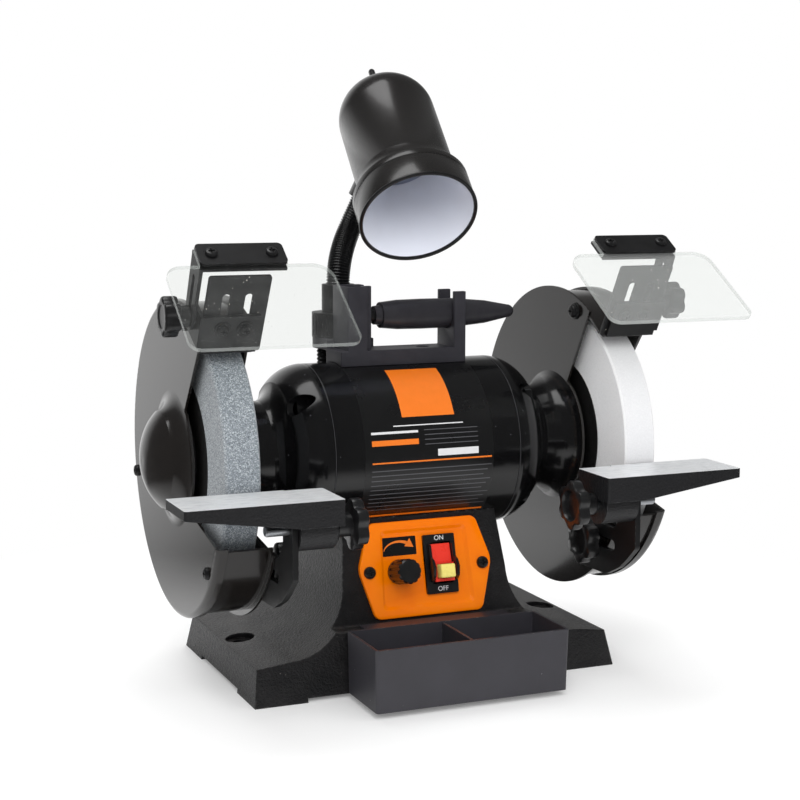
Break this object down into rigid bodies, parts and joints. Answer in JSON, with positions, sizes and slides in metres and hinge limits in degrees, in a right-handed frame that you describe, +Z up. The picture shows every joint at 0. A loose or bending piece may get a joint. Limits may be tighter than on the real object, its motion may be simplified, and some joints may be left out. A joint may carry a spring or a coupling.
{
  "type": "bench grinder",
  "caption": "Two-wheel bench grinder with domed guards, eye shields, adjustable tool rests, a speed dial, a switch, a water tray, a wheel dresser and a gooseneck lamp.",
  "frame": {"origin": "centre of the two bench bolt holes, on the bench", "axes": "+X along the shaft towards the white wheel, -Y towards the operator, +Z up"},
  "size_m": [0.422, 0.2834, 0.4589],
  "materials": {
    "cast_black": "rough sand-cast, black paint",
    "motor_black": "gloss black enamel",
    "guard_black": "semi-gloss black powder coat",
    "black_steel": "satin black steel",
    "bright_steel": "machined",
    "grey_abrasive": "bonded grit, grey",
    "white_abrasive": "bonded grit, white",
    "label_paper": "printed card, black",
    "clear_shield": "clear sheet",
    "knob_black": "moulded, fine grain",
    "orange_panel": "satin orange",
    "red_plastic": "moulded",
    "yellow_plastic": "moulded",
    "tray_black": "moulded, satin",
    "holder_grey": "moulded, matte",
    "grip_black": "dipped, satin",
    "copper_winding": "lacquered copper wire",
    "lamination": "stacked sheet",
    "board_green": "circuit board",
    "shade_black": "gloss black enamel, white inside",
    "socket_dark": "moulded"
  },
  "bodies": {
    "grinder": {"base_casting": "cast_black", "bottom_cover": "black_steel", "control_panel": "orange_panel", "switch_body": "knob_black", "speed_control": "board_green", "cord_gland": "knob_black", "motor_barrel": "motor_black", "left_end_bell": "motor_black", "right_end_bell": "motor_black", "end_bell_screws": "bright_steel", "stator_core": "lamination", "stator_winding": "copper_winding", "bearings": "bright_steel", "left_guard": "guard_black", "right_guard": "guard_black", "left_guard_cover": "guard_black", "right_guard_cover": "guard_black", "cover_screws": "black_steel", "left_shield_bracket": "black_steel", "right_shield_bracket": "black_steel", "dresser_holder": "holder_grey", "lamp_neck": "black_steel", "lamp_sleeve": "black_steel", "lamp_nut": "black_steel", "lamp_conduit": "knob_black"},
    "spindle": {"shaft": "bright_steel", "rotor_core": "lamination", "left_wheel": "grey_abrasive", "right_wheel": "white_abrasive", "inner_flanges": "black_steel", "outer_flanges": "black_steel", "arbor_nuts": "bright_steel", "blotters": "label_paper"},
    "speed_dial": {"speed_knob": "knob_black"},
    "paddle": {"switch_paddle": "red_plastic"},
    "key": {"switch_key": "yellow_plastic"},
    "water_tray": {"tray": "tray_black"},
    "dresser": {"dresser_grip": "grip_black", "dresser_head": "bright_steel"},
    "lamp_head": {"lamp_shade": "shade_black", "lamp_socket": "socket_dark"},
    "lamp_switch": {"lamp_switch_knob": "knob_black"},
    "left_shield": {"left_shield_arm": "black_steel", "left_shield_strip": "black_steel", "left_eye_shield": "clear_shield"},
    "left_shield_clamp": {"left_shield_knob": "knob_black"},
    "left_arrestor": {"left_spark_arrestor": "black_steel"},
    "left_bracket": {"left_rest_bracket": "black_steel"},
    "left_rest": {"left_tool_rest": "cast_black"},
    "left_rest_clamp": {"left_rest_knob": "knob_black"},
    "left_bracket_clamp": {"left_bracket_knob": "knob_black"},
    "right_shield": {"right_shield_arm": "black_steel", "right_shield_strip": "black_steel", "right_eye_shield": "clear_shield"},
    "right_shield_clamp": {"right_shield_knob": "knob_black"},
    "right_arrestor": {"right_spark_arrestor": "black_steel"},
    "right_bracket": {"right_rest_bracket": "black_steel"},
    "right_rest": {"right_tool_rest": "cast_black"},
    "right_rest_clamp": {"right_rest_knob": "knob_black"},
    "right_bracket_clamp": {"right_bracket_knob": "knob_black"}
  },
  "joints": [
    {"name": "wheel_spin", "type": "hinge", "parent": "grinder", "child": "spindle", "pos_m": [0, 0, 0.167], "axis": [1, 0, 0], "continuous": true},
    {"name": "speed_turn", "type": "hinge", "parent": "grinder", "child": "speed_dial", "pos_m": [-0.0215, -0.05571, 0.08074], "axis": [0, -0.9715, 0.2368], "range_deg": [0, 300]},
    {"name": "switch_rock", "type": "hinge", "parent": "grinder", "child": "paddle", "pos_m": [0.0125, -0.05469, 0.08492], "axis": [1, 0, 0], "range_deg": [0, 10]},
    {"name": "key_pull", "type": "slide", "parent": "paddle", "child": "key", "axis": [0, -0.9715, 0.2368], "range_m": [0, 0.02]},
    {"name": "tray_lift", "type": "slide", "parent": "grinder", "child": "water_tray", "axis": [0, -0.8, 0.6], "range_m": [0, 0.08]},
    {"name": "dresser_lift", "type": "slide", "parent": "grinder", "child": "dresser", "axis": [0, 0, 1], "range_m": [0, 0.022]},
    {"name": "lamp_bend", "type": "hinge", "parent": "grinder", "child": "lamp_head", "pos_m": [-0.027, 0.04, 0.318], "axis": [1, 0, 0], "range_deg": [-25, 5], "deforming": ["lamp_neck"]},
    {"name": "lamp_switch_turn", "type": "hinge", "parent": "lamp_head", "child": "lamp_switch", "pos_m": [0.0147, 0.08174, 0.4487], "axis": [0.075, 0.734, 0.675], "range_deg": [0, 90]},
    {"name": "left_shield_tilt", "type": "hinge", "parent": "grinder", "child": "left_shield", "pos_m": [-0.18, -0.072, 0.277], "axis": [1, 0, 0], "range_deg": [-40, 5]},
    {"name": "left_shield_knob_turn", "type": "hinge", "parent": "grinder", "child": "left_shield_clamp", "pos_m": [-0.19, -0.072, 0.277], "axis": [1, 0, 0], "range_deg": [-180, 180]},
    {"name": "left_arrestor_slide", "type": "slide", "parent": "grinder", "child": "left_arrestor", "axis": [0, -0.4939, 0.8695], "range_m": [-0.008, 0]},
    {"name": "left_bracket_slide", "type": "slide", "parent": "grinder", "child": "left_bracket", "axis": [0, -1, 0], "range_m": [-0.001, 0.016]},
    {"name": "left_rest_tilt", "type": "hinge", "parent": "left_bracket", "child": "left_rest", "pos_m": [-0.12, -0.129, 0.1365], "axis": [1, 0, 0], "range_deg": [-3, 30]},
    {"name": "left_rest_knob_turn", "type": "hinge", "parent": "left_bracket", "child": "left_rest_clamp", "pos_m": [-0.09, -0.129, 0.1365], "axis": [1, 0, 0], "range_deg": [-180, 180]},
    {"name": "left_bracket_knob_turn", "type": "hinge", "parent": "grinder", "child": "left_bracket_clamp", "pos_m": [-0.12, -0.08, 0.0985], "axis": [1, 0, 0], "range_deg": [-180, 180]},
    {"name": "right_shield_tilt", "type": "hinge", "parent": "grinder", "child": "right_shield", "pos_m": [0.18, -0.072, 0.277], "axis": [1, 0, 0], "range_deg": [-35, 9]},
    {"name": "right_shield_knob_turn", "type": "hinge", "parent": "grinder", "child": "right_shield_clamp", "pos_m": [0.19, -0.072, 0.277], "axis": [1, 0, 0], "range_deg": [-180, 180]},
    {"name": "right_arrestor_slide", "type": "slide", "parent": "grinder", "child": "right_arrestor", "axis": [0, -0.4939, 0.8695], "range_m": [-0.008, 0]},
    {"name": "right_bracket_slide", "type": "slide", "parent": "grinder", "child": "right_bracket", "axis": [0, -1, 0], "range_m": [-0.001, 0.016]},
    {"name": "right_rest_tilt", "type": "hinge", "parent": "right_bracket", "child": "right_rest", "pos_m": [0.12, -0.129, 0.1365], "axis": [1, 0, 0], "range_deg": [-3, 30]},
    {"name": "right_rest_knob_turn", "type": "hinge", "parent": "right_bracket", "child": "right_rest_clamp", "pos_m": [0.09, -0.129, 0.1365], "axis": [1, 0, 0], "range_deg": [-180, 180]},
    {"name": "right_bracket_knob_turn", "type": "hinge", "parent": "grinder", "child": "right_bracket_clamp", "pos_m": [0.12, -0.08, 0.0985], "axis": [1, 0, 0], "range_deg": [-180, 180]}
  ]
}
